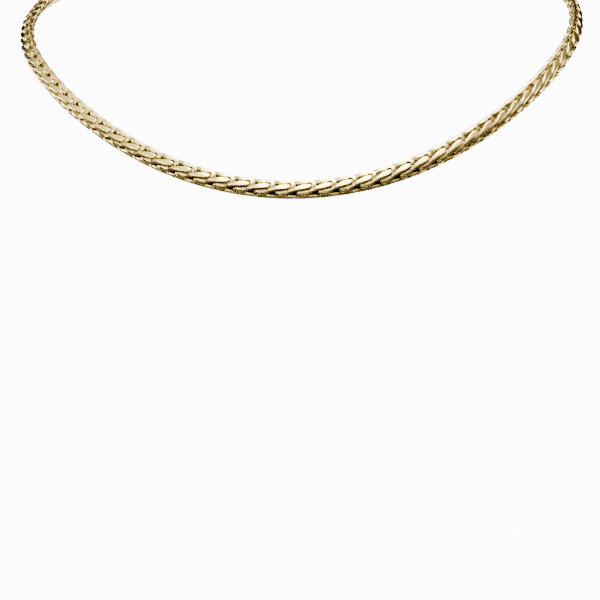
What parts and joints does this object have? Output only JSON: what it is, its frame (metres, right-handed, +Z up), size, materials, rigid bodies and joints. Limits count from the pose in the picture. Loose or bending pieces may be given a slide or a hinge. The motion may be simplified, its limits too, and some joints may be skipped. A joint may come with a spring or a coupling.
{
  "type": "wheat chain necklace",
  "caption": "Neck chain of twisted gold wire links that all lie one way, in the round form it takes when worn, closed at the back by a plain barrel clasp.",
  "frame": {"origin": "middle of the hollow that the neck fills, where the chain is held up", "axes": "+X to the right as seen from the front, +Y to the back where the clasp is, +Z up along the neck"},
  "size_m": [0.1256, 0.1241, 0.0528],
  "materials": {
    "yellow_gold": "polished"
  },
  "bodies": {
    "root": {"chain_left": "yellow_gold", "chain_right": "yellow_gold", "jump_ring_left": "yellow_gold", "jump_ring_right": "yellow_gold", "clasp": "yellow_gold"}
  },
  "joints": []
}
